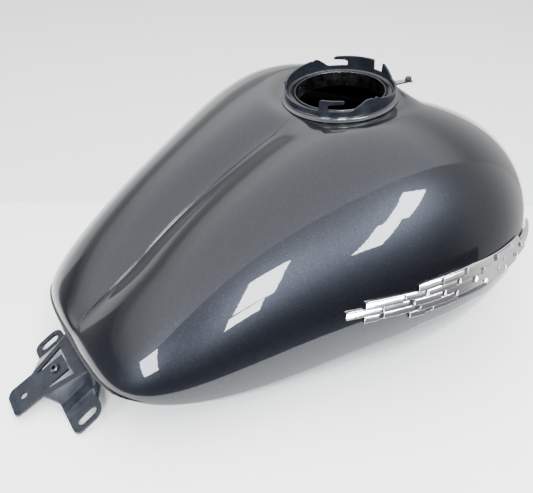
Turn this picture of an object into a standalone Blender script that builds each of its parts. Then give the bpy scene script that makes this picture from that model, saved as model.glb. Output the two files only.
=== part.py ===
"""Motorcycle fuel tank: a two-lobed welded steel tank, bare of its pump, cap and hoses.

Frame: +X to the front of the motorcycle, +Y to the rider's left, +Z up. z = 0 is the surface
that the tank stands on. Metres throughout. The dimensions below take x = 0 at the back of the
tail; every mesh is moved back by ORIGIN_X, so that the origin is the middle of the bounding box.

The outer skin is one formula. Its plan outline is a B-spline from the tail, round the left
side, to the nose. Above the widest line it rises as a superellipse to the spine, with a creased
valley between the two lobes. Below the widest line it turns under to the floor pan.
"""
import math

import bmesh
import bpy
import numpy as np
from mathutils import Matrix, Vector

# ---- sheet and gaps
SHEET = 0.0016          # thickness of the skin and of the floor pan
GAP = 0.0003            # gap left between two pieces that are welded or glued together
EPS = 1e-9
ORIGIN_X = 0.2325       # from the back of the tail to the middle of the bounding box

# ---- outer skin: plan outline of the left half, as B-spline controls from tail to nose
LENGTH = 0.531
OUTLINE_X = (0.0, 0.0, 0.001, 0.176, 0.292, 0.409, LENGTH, LENGTH)
OUTLINE_Y = (0.0, 0.052, 0.108, 0.159, 0.2145, 0.193, 0.063, 0.0)
# lower edge of the skin: level along the middle, rising to the tail and to the nose
EDGE_Z = 0.007
TAIL_RISE = 0.0425
TAIL_RISE_END = 0.170
NOSE_RISE = 0.020
NOSE_RISE_START = 0.360
# widest line above the lower edge, and how far the skin turns in below it (Bezier controls)
WIDEST_ABOVE_EDGE = (0.0065, 0.053, 0.1284, 0.0718)
TURN_IN = (0.0148, 0.0371, 0.0416, 0.0488)
TURN_POWER = 1.42
# spine heights (B-spline controls, evenly spread along the length) and where the spine ends
SPINE_Z = (0.061, 0.132, 0.200, 0.2525, 0.147, 0.109)
SPINE_TAIL = 0.010
SPINE_NOSE = 0.053
# superellipse powers of the tail, the sides and the nose
POWER_TAIL = 1.68
POWER_SIDE = 2.14
POWER_NOSE = 1.98
# valley between the lobes
VALLEY_DEPTH = 0.0263
VALLEY_WIDTH = 0.0385
VALLEY_CREASE = 0.012

# ---- pump opening
RING_X = 0.308
RING_Z = 0.2096
RING_TILT = math.radians(-5.5)
MOUTH_R = 0.0435
SEAT_R = 0.0515
WALL_R = 0.0545
FOOT_R = 0.0572
FOOT_H = -0.0060        # underside of the retainer's foot, along the ring's axis
FLAT_R = 0.0590         # flat drawn into the skin round the opening
FILLET_R = 0.0850       # where the drawn neck runs out into the skin
SKIN_HOLE_R = 0.0485
WALL_LOW = 0.0030       # plain height of the retainer's wall above the seat
WALL_RAMP = 0.0086      # how much higher the ramps are
HOOK_UNDER = 0.0088
HOOK_TOP = 0.0128
TAB_ANGLE = -24         # degrees from the front, negative to the right

# stations across the skin (the same numbers as skin's w) and along it from the opening's centre
SKIN_COLS = (0, 0.05, 0.096, 0.145, 0.192, 0.221, 0.255, 0.30, 0.37, 0.44, 0.52, 0.62, 0.74, 0.87,
             1.0, 1.2, 1.45, 1.72, 2.0)
NECK_STEPS = (0.0, 0.023, 0.045, 0.0595, 0.072, 0.0845)

# ---- floor pan and frame tunnel
TUNNEL_HALF = 0.042
TUNNEL_ROOF_TAIL = 0.0445
TUNNEL_ROOF_NOSE = 0.108
PAN_BACK = 0.0190
PAN_FRONT = 0.4655
PAN_FLANGE = 0.008
PAN_STEP = 0.006        # width of the step from the flange down to the floor
MOUTH_TOP_X = 0.526
MOUTH_BASE_X = 0.470

# ---- inside: vent line, hose spigots
VENT_X = 0.225
VENT_Y = 0.018
SPIGOT_X = 0.400
SPIGOT_Z = 0.020

# ---- rear bracket
BRACKET_T = 0.0025
HAT_SLOPE = 0.404
WING_SLOPE = 0.488
SLOT_X = -0.014
SLOT_Y = 0.0505
SLOT_LONG = 0.0175
SLOT_WIDE = 0.008
WING_STEPS = (0.031, 0.035, 0.040)      # y of the facet's foot, the ledge and the slotted wing

# ---- emblem on each side
EMBLEM_X0 = 0.178
EMBLEM_X1 = 0.398
EMBLEM_T = 0.0030
EMBLEM_PAD_T = 0.0008
EMBLEM_LEAN = 0.45      # forward lean of the bars' ends
EMBLEM_LINE_X = (0.170, 0.205, 0.240, 0.285, 0.330, 0.400)
EMBLEM_LINE_Z = (0.1030, 0.1050, 0.1080, 0.1155, 0.1175, 0.1150)


# ------------------------------------------------------------------ curves and the skin
def bspline(controls, t):
    """Clamped uniform cubic B-spline."""
    degree = 3
    count = len(controls)
    inner = np.linspace(0.0, 1.0, count - degree + 1)
    knots = np.concatenate([np.zeros(degree), inner, np.ones(degree)])
    t = np.clip(np.asarray(t, float), 0.0, 1.0 - 1e-12)
    basis = [((knots[i] <= t) & (t < knots[i + 1])).astype(float) for i in range(len(knots) - 1)]
    for k in range(1, degree + 1):
        for i in range(len(knots) - k - 1):
            left = knots[i + k] - knots[i]
            right = knots[i + k + 1] - knots[i + 1]
            a = (t - knots[i]) / left * basis[i] if left > 0 else 0.0
            b = (knots[i + k + 1] - t) / right * basis[i + 1] if right > 0 else 0.0
            basis[i] = a + b
    return sum(c * basis[i] for i, c in enumerate(controls))


def bezier(controls, t):
    """Cubic Bezier through four controls."""
    a, b, c, d = controls
    t = np.clip(t, 0.0, 1.0)
    return a * (1 - t) ** 3 + 3 * b * t * (1 - t) ** 2 + 3 * c * t * t * (1 - t) + d * t ** 3


def smoothstep(low, high, value):
    s = np.clip((value - low) / (high - low), 0.0, 1.0)
    return s * s * (3.0 - 2.0 * s)


def edge_z(x):
    """Height of the skin's lower edge."""
    tail = np.clip((TAIL_RISE_END - x) / TAIL_RISE_END, 0.0, 1.0) ** 2
    nose = np.clip((x - NOSE_RISE_START) / (LENGTH - NOSE_RISE_START), 0.0, 1.0) ** 2
    return EDGE_Z + TAIL_RISE * tail + NOSE_RISE * nose


def outline(u):
    """Plan outline of the left half: x, y and the outward normal at u = 0 (tail) to 1 (nose)."""
    u = np.asarray(u, float)
    step = 1e-4
    x, y = bspline(OUTLINE_X, u), bspline(OUTLINE_Y, u)
    dx = bspline(OUTLINE_X, u + step) - bspline(OUTLINE_X, u - step)
    dy = bspline(OUTLINE_Y, u + step) - bspline(OUTLINE_Y, u - step)
    size = np.hypot(dx, dy) + EPS
    return x, y, -dy / size, dx / size


def ring_axes():
    """Centre, forward, left and up directions of the pump opening."""
    forward = np.array([math.cos(RING_TILT), 0.0, -math.sin(RING_TILT)])
    up = np.array([math.sin(RING_TILT), 0.0, math.cos(RING_TILT)])
    return np.array([RING_X, 0.0, RING_Z]), forward, np.array([0.0, 1.0, 0.0]), up


def ring_matrix():
    """Placement of things made round the pump opening's own axis."""
    centre, forward, left, up = ring_axes()
    return Matrix([(forward[k], left[k], up[k], centre[k]) for k in range(3)] + [(0, 0, 0, 1)])


def draw_neck(x, y, z):
    """Draw the skin up or down to the flat round the pump opening."""
    centre, _, _, up = ring_axes()
    flat_h = FOOT_H - GAP
    plane = centre[2] + (flat_h - (x - centre[0]) * up[0]) / up[2]
    radius = np.hypot(x - centre[0] - flat_h * up[0], y)
    reach = np.clip((FILLET_R - radius) / (FILLET_R - FLAT_R), 0.0, 1.0)
    weight = reach ** 2 * (2.0 - reach)
    return z + weight * (plane - z)


def skin(u, w):
    """Point of the left half's outer skin. w = 0 spine, 1 widest line, 2 lower edge."""
    x, y, nx, ny = outline(u)
    along = x / LENGTH
    widest = edge_z(x) + bezier(WIDEST_ABOVE_EDGE, along)
    spine_x = SPINE_TAIL + (LENGTH - SPINE_TAIL - SPINE_NOSE) * along
    spine_z = bspline(SPINE_Z, spine_x / LENGTH)
    to_tail, to_nose = np.clip(-nx, 0, 1) ** 2, np.clip(nx, 0, 1) ** 2
    power = POWER_TAIL * to_tail + POWER_NOSE * to_nose + POWER_SIDE * (1 - to_tail - to_nose)
    rho = np.sin(np.clip(w, 0, 1) * math.pi / 2)
    rise = np.clip(1 - rho ** power, 0, 1) ** (1 / power)
    top_x, top_y = spine_x + (x - spine_x) * rho, y * rho
    top_z = widest + (spine_z - widest) * rise
    depth = VALLEY_DEPTH * smoothstep(-0.05, 0.15, top_x / LENGTH)
    depth = depth * (1 - smoothstep(0.62, 1.0, top_x / LENGTH))
    width = VALLEY_WIDTH * (0.55 + 1.5 * top_x / LENGTH)
    crease = np.sqrt(top_y ** 2 + VALLEY_CREASE ** 2) - VALLEY_CREASE
    top_z = draw_neck(top_x, top_y, top_z - depth * np.exp(-crease / width))
    phi = np.clip(w - 1, 0, 1) * math.pi / 2
    bend = 2 / TURN_POWER
    turn = bezier(TURN_IN, along) * (1 - np.abs(np.cos(phi)) ** bend)
    low_x, low_y = x - nx * turn, y - ny * turn
    low_z = widest - (widest - edge_z(x)) * np.sin(phi) ** bend
    below = np.asarray(w) > 1
    return np.stack([np.where(below, low_x, top_x), np.where(below, low_y, top_y),
                     np.where(below, low_z, top_z)], -1)


# ------------------------------------------------------------------ mesh helpers
def material(name, colour, roughness, metallic):
    made = bpy.data.materials.get(name)
    if made is None:
        made = bpy.data.materials.new(name)
        made.use_nodes = True
        shader = made.node_tree.nodes["Principled BSDF"]
        shader.inputs["Base Color"].default_value = (*colour, 1.0)
        shader.inputs["Roughness"].default_value = roughness
        shader.inputs["Metallic"].default_value = metallic
    return made


def add_object(name, mesh_maker, surface):
    """New object from a bmesh, closed and facing out."""
    bmesh.ops.translate(mesh_maker, verts=mesh_maker.verts, vec=(-ORIGIN_X, 0.0, 0.0))
    bmesh.ops.recalc_face_normals(mesh_maker, faces=mesh_maker.faces)
    mesh = bpy.data.meshes.new(name)
    mesh_maker.to_mesh(mesh)
    mesh_maker.free()
    made = bpy.data.objects.new(name, mesh)
    bpy.context.scene.collection.objects.link(made)
    if surface is None:
        made.hide_render = True
        made.display_type = "WIRE"
    else:
        mesh.materials.append(surface)
        mesh.shade_smooth()
        mesh.set_sharp_from_angle(angle=math.radians(35))
    return made


def normals_of(grid):
    """Unit normals of a grid of points."""
    du, dv = np.gradient(grid, axis=0), np.gradient(grid, axis=1)
    n = np.cross(du, dv)
    return n / (np.linalg.norm(n, axis=-1, keepdims=True) + EPS)


def plate(name, outer, inner, surface, filled=None):
    """Closed plate between two grids of points, over the cells that are filled."""
    rows, cols = outer.shape[0] - 1, outer.shape[1] - 1
    if filled is None:
        filled = np.ones((rows, cols), bool)
    bm = bmesh.new()
    corner = {}

    def vert(side, i, j):
        if (side, i, j) not in corner:
            corner[side, i, j] = bm.verts.new((outer if side == 0 else inner)[i, j])
        return corner[side, i, j]

    def is_filled(i, j):
        return 0 <= i < rows and 0 <= j < cols and filled[i, j]

    for i in range(rows):
        for j in range(cols):
            if not filled[i, j]:
                continue
            cell = [(i, j), (i + 1, j), (i + 1, j + 1), (i, j + 1)]
            bm.faces.new([vert(0, *c) for c in cell])
            bm.faces.new([vert(1, *c) for c in reversed(cell)])
            for k, step in enumerate(((0, -1), (1, 0), (0, 1), (-1, 0))):
                if not is_filled(i + step[0], j + step[1]):
                    a, b = cell[k], cell[(k + 1) % 4]
                    bm.faces.new([vert(0, *b), vert(0, *a), vert(1, *a), vert(1, *b)])
    return add_object(name, bm, surface)


def turned(name, profile, centre, axis, surface, segments=48):
    """Closed ring or disc: profile points (radius, height) turned round an axis."""
    bm = bmesh.new()
    axis = Vector(axis).normalized()
    frame = Matrix.Translation(Vector(centre)) @ axis.to_track_quat("Z", "X").to_matrix().to_4x4()
    rings = []
    for k in range(segments):
        a = 2 * math.pi * k / segments
        rings.append([bm.verts.new(frame @ Vector((r * math.cos(a), r * math.sin(a), h)))
                      for r, h in profile])
    for k in range(segments):
        here, there = rings[k], rings[(k + 1) % segments]
        for p in range(len(profile)):
            q = (p + 1) % len(profile)
            bm.faces.new([here[p], there[p], there[q], here[q]])
    return add_object(name, bm, surface)


def prism(name, points, low, high, surface, to_world=None):
    """Closed prism: a flat outline (x, y) raised from low to high."""
    to_world = to_world or Matrix.Identity(4)
    bm = bmesh.new()
    bottom = [bm.verts.new(to_world @ Vector((x, y, low))) for x, y in points]
    top = [bm.verts.new(to_world @ Vector((x, y, high))) for x, y in points]
    bm.faces.new(top)
    bm.faces.new(list(reversed(bottom)))
    for k in range(len(points)):
        n = (k + 1) % len(points)
        bm.faces.new([bottom[k], bottom[n], top[n], top[k]])
    return add_object(name, bm, surface)


def boolean(target, cutter, operation="DIFFERENCE"):
    change = target.modifiers.new(cutter.name, "BOOLEAN")
    change.operation = operation
    change.object = cutter


def rounded(corners, radii, steps=4):
    """Polygon with its corners rounded by arcs of the given radii."""
    points = []
    count = len(corners)
    for k in range(count):
        p = Vector(corners[k])
        before = (Vector(corners[k - 1]) - p).normalized()
        after = (Vector(corners[(k + 1) % count]) - p).normalized()
        radius = radii[k] if isinstance(radii, (list, tuple)) else radii
        half = before.angle(after) / 2
        if radius <= 0 or half > math.radians(88):
            points.append(tuple(p))
            continue
        cut = radius / math.tan(half)
        middle = p + (before + after).normalized() * (radius / math.sin(half))
        start, end = p + before * cut - middle, p + after * cut - middle
        turn = start.angle_signed(end)
        for s in range(steps + 1):
            arm = start.copy()
            arm.rotate(Matrix.Rotation(-turn * s / steps, 2))
            points.append(tuple(middle + arm))
    return points


def round_slot(centre, length, width, steps=6):
    """Outline of a slot with round ends, running along x."""
    points = []
    for end, start in ((1, -90), (-1, 90)):
        for s in range(steps + 1):
            a = math.radians(start + 180 * s / steps)
            points.append((centre[0] + end * (length - width) / 2 + width / 2 * math.cos(a),
                           centre[1] + width / 2 * math.sin(a)))
    return points


def circle(centre, radius, steps=20):
    turn = 2 * math.pi / steps
    return [(centre[0] + radius * math.cos(turn * s), centre[1] + radius * math.sin(turn * s))
            for s in range(steps)]


def tube(name, points, outer_r, inner_r, surface, sides=10):
    """Open-ended round tube along a list of points."""
    bm = bmesh.new()
    path = [Vector(p) for p in points]
    side_dir = Vector((0, 1, 0))
    rings = []
    for k, p in enumerate(path):
        ahead = (path[min(k + 1, len(path) - 1)] - path[max(k - 1, 0)]).normalized()
        across = (side_dir - ahead * side_dir.dot(ahead)).normalized()
        up = ahead.cross(across)
        rings.append([[bm.verts.new(p + (across * math.cos(a) + up * math.sin(a)) * r)
                       for a in (2 * math.pi * s / sides for s in range(sides))]
                      for r in (outer_r, inner_r)])
    for k in range(len(path) - 1):
        for layer in (0, 1):
            for s in range(sides):
                n = (s + 1) % sides
                bm.faces.new([rings[k][layer][s], rings[k][layer][n],
                              rings[k + 1][layer][n], rings[k + 1][layer][s]])
    for k in (0, -1):
        for s in range(sides):
            n = (s + 1) % sides
            bm.faces.new([rings[k][0][s], rings[k][0][n], rings[k][1][n], rings[k][1][s]])
    return add_object(name, bm, surface)


# ------------------------------------------------------------------ the pieces
def paint():
    return material("charcoal_paint", (0.045, 0.047, 0.052), 0.18, 0.35)


def plain_steel():
    return material("plain_steel", (0.55, 0.55, 0.54), 0.35, 1.0)


def black_coat():
    return material("black_coat", (0.015, 0.016, 0.018), 0.35, 0.2)


def skin_rows():
    """Stations along the skin: even, but placed on the neck where they cross it."""
    even = np.linspace(0, 1, 33)
    rows = even - 0.045 * np.sin(2 * math.pi * even)
    fine = np.linspace(0, 1, 2001)
    fine_x = bspline(OUTLINE_X, fine)
    spine_x = SPINE_TAIL + (LENGTH - SPINE_TAIL - SPINE_NOSE) * bspline(OUTLINE_X, rows) / LENGTH
    apart = np.abs(spine_x - RING_X)
    neck = RING_X + np.array([side * step for side in (-1, 1) for step in NECK_STEPS[1:]] + [0.0])
    along = (neck - SPINE_TAIL) / (LENGTH - SPINE_TAIL - SPINE_NOSE)
    return np.sort(np.concatenate([rows[apart > NECK_STEPS[-1] + 0.007],
                                   np.interp(along * LENGTH, fine_x, fine)]))


def half_skin(side):
    """One pressed half of the outer skin, side +1 left and -1 right."""
    rows, cols = skin_rows(), np.array(SKIN_COLS)
    u, w = np.meshgrid(rows, cols, indexing="ij")
    outer = skin(u, w)
    n = normals_of(outer)
    n *= np.sign(n[len(rows) // 2, 8, 2])
    n[0, 0], n[-1, 0] = n[0, 1], n[-1, 1]
    for edge in (np.s_[:, 0], np.s_[0, :], np.s_[-1, :]):
        n[edge][..., 1] = 0
        n[edge] /= np.linalg.norm(n[edge], axis=-1, keepdims=True) + EPS
    inner = outer - n * SHEET
    for grid in (outer, inner):
        grid[..., 1] = np.maximum(grid[..., 1], GAP / 2)
        grid[:, 0, 1] = grid[0, :, 1] = grid[-1, :, 1] = GAP / 2
        grid[..., 1] *= side
    name = "left_shell" if side > 0 else "right_shell"
    made = plate(name, outer, inner, paint())
    for cutter in ("cut_pump_opening", "cut_neck_flat", "cut_tunnel_mouth"):
        boolean(made, bpy.data.objects[cutter])
    return made


def shell_cutters():
    prism("cut_pump_opening", circle((0, 0), SKIN_HOLE_R, 48), -0.035, 0.02, None, ring_matrix())
    prism("cut_neck_flat", circle((0, 0), FOOT_R + 2 * GAP, 48), FOOT_H - 0.8 * GAP, 0.02, None,
          ring_matrix())
    half = TUNNEL_HALF + SHEET + GAP
    top = TUNNEL_ROOF_NOSE + SHEET + GAP
    corners = [(-half, -0.02), (half, -0.02), (half, top), (-half, top)]
    nose = Matrix(((0, 0, 1, 0), (1, 0, 0, 0), (0, 1, 0, 0), (0, 0, 0, 1)))
    prism("cut_tunnel_mouth", corners, 0.40, 0.60, None, nose)


def roof_z(x):
    """Underside of the tunnel's roof."""
    along = np.clip(x / MOUTH_TOP_X, 0, 1)
    return TUNNEL_ROOF_TAIL + (TUNNEL_ROOF_NOSE - TUNNEL_ROOF_TAIL) * along ** 0.85


def floor_pan():
    """Floor of both lobes and the tunnel that straddles the frame, one pressing."""
    lower = skin(np.linspace(0, 1, 400), np.full(400, 2.0))
    turn = int(lower[:, 0].argmax())
    lower = lower[:turn + 1]
    xs = (PAN_BACK, 0.022, 0.032, 0.048, 0.07, 0.10, 0.135, 0.175, 0.22, 0.27, 0.32, 0.37, 0.41,
          0.44, 0.455, PAN_FRONT, MOUTH_BASE_X)
    inset = SHEET + 2 * GAP
    points = []
    for x in xs:
        half = np.interp(x, lower[:, 0], lower[:, 1]) - inset * 1.5
        rim = np.interp(x, lower[:, 0], lower[:, 2])
        low = max(rim - EDGE_Z, 0.0)
        base = TUNNEL_HALF
        roof = max(roof_z(x), low + 0.002)
        spare = max(half - base - 0.001, 0.002)
        flange, foot = min(PAN_FLANGE, 0.45 * spare), min(PAN_STEP, 0.35 * spare)
        half = base + 0.001 + spare
        across = [(half, rim), (half - flange, rim), (half - flange - foot, low),
                  (base + 0.001, low), (base, low + 0.001), (base, roof - 0.001), (base - 0.001, roof),
                  (0, roof)]
        front = x >= MOUTH_BASE_X
        shear = (MOUTH_TOP_X - MOUTH_BASE_X) if front else 0.0
        line = [(x + shear * np.clip((z - rim) / (roof - rim), 0, 1), y, z) for y, z in across]
        line += [(p, -y, z) for p, y, z in reversed(line[:-1])]
        points.append(line)
    under = np.array(points)
    n = normals_of(under)
    n *= np.sign(n[5, 7, 2])
    top = under + n * SHEET
    filled = np.ones((under.shape[0] - 1, under.shape[1] - 1), bool)
    filled[-1, :3] = filled[-1, -3:] = False
    made = plate("floor_pan", top, under, paint(), filled)
    for name, side in (("cut_left_crossover", 1), ("cut_right_crossover", -1)):
        place = Matrix.Translation((SPIGOT_X, side * TUNNEL_HALF, SPIGOT_Z))
        hole = prism(name, circle((0, 0), 0.0055, 12), -0.006, 0.006, None,
                     place @ Matrix.Rotation(math.pi / 2, 4, "X"))
        boolean(made, hole)
    hole = prism("cut_vent", circle((VENT_X, VENT_Y), 0.0045, 12), 0.04, 0.13, None)
    boolean(made, hole)
    return made


def vent_tube():
    """Vent line: open end high under the spine, down through the tunnel's roof."""
    points = [(VENT_X, VENT_Y, 0.056), (VENT_X, VENT_Y, 0.075), (VENT_X, VENT_Y, 0.110),
              (VENT_X, VENT_Y, 0.130), (VENT_X + 0.004, VENT_Y, 0.142),
              (VENT_X + 0.012, VENT_Y, 0.152), (VENT_X + 0.024, VENT_Y, 0.160)]
    tube("vent_tube", points, 0.0038, 0.0026, plain_steel())


def crossover_spigots():
    """Short spigots that join the two lobes' floors by a hose across the tunnel."""
    steel = plain_steel()
    wall = TUNNEL_HALF - GAP
    profile = [(0.0032, -0.014), (0.0048, -0.014), (0.0054, -0.0125), (0.0048, -0.0105),
               (0.0048, -0.002), (0.0085, -0.002), (0.0085, 0.0), (0.0050, 0.0), (0.0050, 0.007),
               (0.0032, 0.007)]
    for side, name in ((1, "left_crossover_spigot"), (-1, "right_crossover_spigot")):
        turned(name, profile, (SPIGOT_X, side * wall, SPIGOT_Z), (0, side, 0), steel, 16)


def baffles():
    """Anti-slosh plate inside each lobe."""
    steel = plain_steel()
    low = SHEET + GAP
    corners = [(0.047, low), (0.106, low), (0.120, 0.020), (0.124, 0.100), (0.108, 0.130),
               (0.047, 0.130)]
    for side, name in ((1, "left_baffle"), (-1, "right_baffle")):
        stand = Matrix(((0, 0, 1, 0), (side, 0, 0, 0), (0, 1, 0, 0), (0, 0, 0, 1)))
        made = prism(name, rounded(corners, [0.002, 0.004, 0.004, 0.010, 0.010, 0.002]),
                     0.205, 0.205 + 0.0012, steel, stand)
        for k, z in enumerate((0.045, 0.095)):
            hole = prism("cut_%s_%d" % (name, k), circle((0.086, z), 0.013, 16), 0.20, 0.21, None, stand)
            boolean(made, hole)


def front_ears():
    """Drilled ears, welded inside the tunnel's mouth, that bolt to the frame's neck."""
    corners = [(0.446, 0.040), (0.500, 0.030), (0.521, 0.034), (0.521, 0.058), (0.500, 0.066),
               (0.446, 0.062)]
    for side, name in ((1, "left_front_ear"), (-1, "right_front_ear")):
        stand = Matrix(((1, 0, 0, 0), (0, 0, side, 0), (0, 1, 0, 0), (0, 0, 0, 1)))
        outer = TUNNEL_HALF - GAP
        made = prism(name, rounded(corners, [0.006, 0.006, 0.010, 0.010, 0.006, 0.006]),
                     outer - 0.003, outer, black_coat(), stand)
        hole = prism("cut_" + name, circle((0.509, 0.046), 0.0045, 16), outer - 0.01, outer + 0.01,
                     None, stand)
        boolean(made, hole)


def pump_opening():
    """Seal seat, inner reinforcement and the cam-lock retainer round the opening."""
    centre, forward, left, up = ring_axes()
    seat = [(MOUTH_R, 0.0), (MOUTH_R + 0.0018, 0.0), (MOUTH_R + 0.0026, -0.0020),
            (SEAT_R - 0.0012, -0.0020), (SEAT_R, -0.0008), (SEAT_R, FOOT_H),
            (SKIN_HOLE_R - GAP, FOOT_H), (SKIN_HOLE_R - GAP, FOOT_H - 0.0008),
            (MOUTH_R + 0.0016, FOOT_H - 0.0008), (MOUTH_R + 0.0016, -0.0150), (MOUTH_R, -0.0150)]
    turned("seal_seat", seat, centre, up, material("seat_steel", (0.32, 0.32, 0.33), 0.3, 0.8), 48)
    under, outer_r = FOOT_H - 0.0016 - SHEET, FLAT_R - 0.006
    stiffener = [(SKIN_HOLE_R, under), (outer_r, under), (outer_r, under - 0.002),
                 (SKIN_HOLE_R, under - 0.002)]
    turned("neck_stiffener", stiffener, centre, up,
           plain_steel(), 48)


def wall_top(angle):
    """Top edge of the retainer's wall: low, with a long ramp on each side, 180 degrees apart."""
    turn = angle % 180.0
    if 58 <= turn < 72:
        ramp = (turn - 58) / 14
    elif 72 <= turn < 86:
        ramp = 1.0
    elif 86 <= turn < 134:
        ramp = 0.90 - 0.42 * (turn - 86) / 48
    elif 134 <= turn < 138:
        ramp = 0.48 * (138 - turn) / 4
    else:
        ramp = 0.0
    return WALL_LOW + WALL_RAMP * ramp


def ring_point(angle, radius, height):
    """World point at an angle (degrees), radius and height on the pump opening's axis."""
    centre, forward, left, up = ring_axes()
    a = math.radians(angle)
    return Vector(centre + radius * (math.cos(a) * forward + math.sin(a) * left) + height * up)


def arc_block(name, start, end, inner_r, outer_r, low, high_start, high_end, surface):
    """Curved block on the pump opening's ring, whose top may slope."""
    steps = max(2, int((end - start) / 4) + 1)
    bm = bmesh.new()
    sections = []
    for s in range(steps):
        along = s / (steps - 1)
        angle = start + (end - start) * along
        high = high_start + (high_end - high_start) * along
        corners = ((inner_r, low), (outer_r, low), (outer_r, high), (inner_r, high))
        sections.append([bm.verts.new(ring_point(angle, r, h)) for r, h in corners])
    for here, there in zip(sections, sections[1:]):
        for k in range(4):
            n = (k + 1) % 4
            bm.faces.new([here[k], here[n], there[n], there[k]])
    bm.faces.new(sections[0])
    bm.faces.new(sections[-1])
    return add_object(name, bm, surface)


def lock_retainer():
    """Pressed retainer: a foot, a ramped wall and the hooks that the lock ring turns under."""
    inner_r = SEAT_R + 0.0005
    foot_top = FOOT_H + SHEET
    angles = np.unique(np.concatenate([np.arange(0, 360, 6.0),
                                       [58, 72, 86, 134, 138, 238, 252, 266, 314, 318]]))
    bm = bmesh.new()
    sections = []
    for angle in angles:
        top = wall_top(angle)
        corners = ((FOOT_R, FOOT_H), (FOOT_R, foot_top), (WALL_R, foot_top), (WALL_R, top),
                   (inner_r, top), (inner_r, FOOT_H))
        sections.append([bm.verts.new(ring_point(angle, r, h)) for r, h in corners])
    for here, there in zip(sections, sections[1:] + sections[:1]):
        for k in range(6):
            n = (k + 1) % 6
            bm.faces.new([here[k], here[n], there[n], there[k]])
    made = add_object("lock_retainer", bm, black_coat())
    skim = 0.00005
    blocks = (("post_far", 6, 37, 0.0, HOOK_TOP, HOOK_TOP),
              ("arm_far", 35, 52, HOOK_UNDER, HOOK_TOP, HOOK_TOP - 0.001),
              ("post_near", 206, 215, 0.0, HOOK_TOP, HOOK_TOP),
              ("arm_near", 213, 230, HOOK_UNDER, HOOK_TOP, HOOK_TOP),
              ("fin", 336, 353, 0.0, 0.0045, HOOK_TOP - 0.0005))
    for name, start, end, low, high_a, high_b in blocks:
        block = arc_block("join_" + name, start, end, inner_r + skim, WALL_R - skim, low, high_a,
                          high_b, None)
        boolean(made, block, "UNION")


def locating_tab():
    """Tab welded to the retainer's foot, with a rubber bumper on its end."""
    low, high = FOOT_H + SHEET + GAP, FOOT_H + SHEET + GAP + 0.0016
    place = ring_matrix() @ Matrix.Rotation(math.radians(TAB_ANGLE), 4, "Z")
    start = WALL_R + GAP
    corners = [(start + 0.0004, -0.0040), (0.0700, -0.0030), (0.0765, -0.0030), (0.0765, 0.0030),
               (0.0700, 0.0030), (start + 0.0004, 0.0040)]
    prism("locating_tab", corners, low, high, plain_steel(),
          place)
    bumper = [(0.0002, 0.0), (0.0030, 0.0), (0.0034, 0.0012), (0.0030, 0.0026), (0.0002, 0.0030)]
    foot = ring_point(TAB_ANGLE, 0.0728, high + GAP)
    turned("tab_bumper", bumper, foot, ring_axes()[3], material("rubber", (0.02, 0.02, 0.02), 0.7, 0.0), 16)


def hat_z(x):
    """Top of the bracket's raised middle, at a distance behind the tail."""
    return 0.0300 + HAT_SLOPE * (x + 0.012)


def wing_z(x):
    """Top of the bracket's slotted wings."""
    return 0.0105 + WING_SLOPE * (x - SLOT_X)


def bracket_z(x, y):
    """Top surface of the rear bracket."""
    strip = roof_z(x) - 3 * GAP
    middle_edge = float(np.interp(x, (-0.040, 0.002), (0.0142, 0.0275)))
    facet = min(max((abs(y) - middle_edge) / (WING_STEPS[0] - middle_edge), 0.0), 1.0)
    drop = 0.40 * facet + float(np.interp(abs(y), WING_STEPS, (0.0, 0.42, 0.60)))
    z = hat_z(x) * (1 - drop) + wing_z(min(x, 0.0)) * drop
    to_strip = float(smoothstep(-0.001, 0.0115, x))
    z = z + to_strip * (strip - z)
    return z - 0.30 * max(-0.0590 - x, 0.0)


def rear_bracket():
    """Pressed bracket under the tail: a middle tongue, and a slotted wing on each side."""
    xs = (-0.0665, -0.059, -0.050, -0.040, -0.034, -0.029, -0.022, -0.014, -0.006, -0.001, 0.003,
          0.007, 0.0115, 0.016, 0.030, 0.045)
    half = (0.0, 0.0142, 0.0205, 0.0275) + WING_STEPS + (0.046, 0.056, 0.066)
    ys = [-y for y in reversed(half[1:])] + list(half)
    top = np.array([[(x, y, bracket_z(x, y)) for y in ys] for x in xs])
    n = normals_of(top)
    n *= np.sign(n[..., 2:3])
    made = plate("rear_bracket", top, top - n * BRACKET_T, black_coat())
    left = [(0.043, 0.0), (0.043, 0.030), (0.0135, 0.036), (0.008, 0.0410), (-0.0005, 0.0440),
            (-0.0005, 0.0590), (-0.0285, 0.0590), (-0.0290, 0.0290), (-0.0385, 0.0145),
            (-0.0645, 0.0140)]
    radii = [0, 0.006, 0.004, 0.002, 0.002, 0.009, 0.006, 0.006, 0.003, 0.003]
    right = [(x, -y) for x, y in reversed(left[1:])]
    shape = prism("keep_bracket", rounded(left + right, radii + list(reversed(radii[1:]))),
                  -0.02, 0.08, None)
    boolean(made, shape, "INTERSECT")
    for side, name in ((1, "left"), (-1, "right")):
        slot = prism("cut_slot_" + name, round_slot((SLOT_X, side * SLOT_Y), SLOT_LONG, SLOT_WIDE),
                     -0.02, 0.05, None)
        boolean(made, slot)
        gap = [(-0.0360, side * 0.0098), (-0.0345, side * 0.0115), (-0.0095, side * 0.0185),
               (-0.0095, 0.0), (-0.0110, 0.0), (-0.0110, side * 0.0098)]
        window = prism("cut_window_" + name, gap, -0.02, 0.08, None)
        boolean(made, window)
    boolean(made, prism("cut_tongue_hole", circle((-0.052, 0.0), 0.0032, 16), -0.02, 0.05, None))


def weld_nut():
    """Round weld nut on the bracket's inner strip."""
    lean = math.atan(HAT_SLOPE)
    up = Vector((-math.sin(lean), 0, math.cos(lean)))
    foot = Vector((-0.0205, 0.0, hat_z(-0.0205))) + up * GAP
    profile = [(0.0020, 0.0), (0.0042, 0.0), (0.0042, 0.0022), (0.0034, 0.0030), (0.0020, 0.0030)]
    turned("bracket_weld_nut", profile, foot, up,
           plain_steel(), 20)


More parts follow.
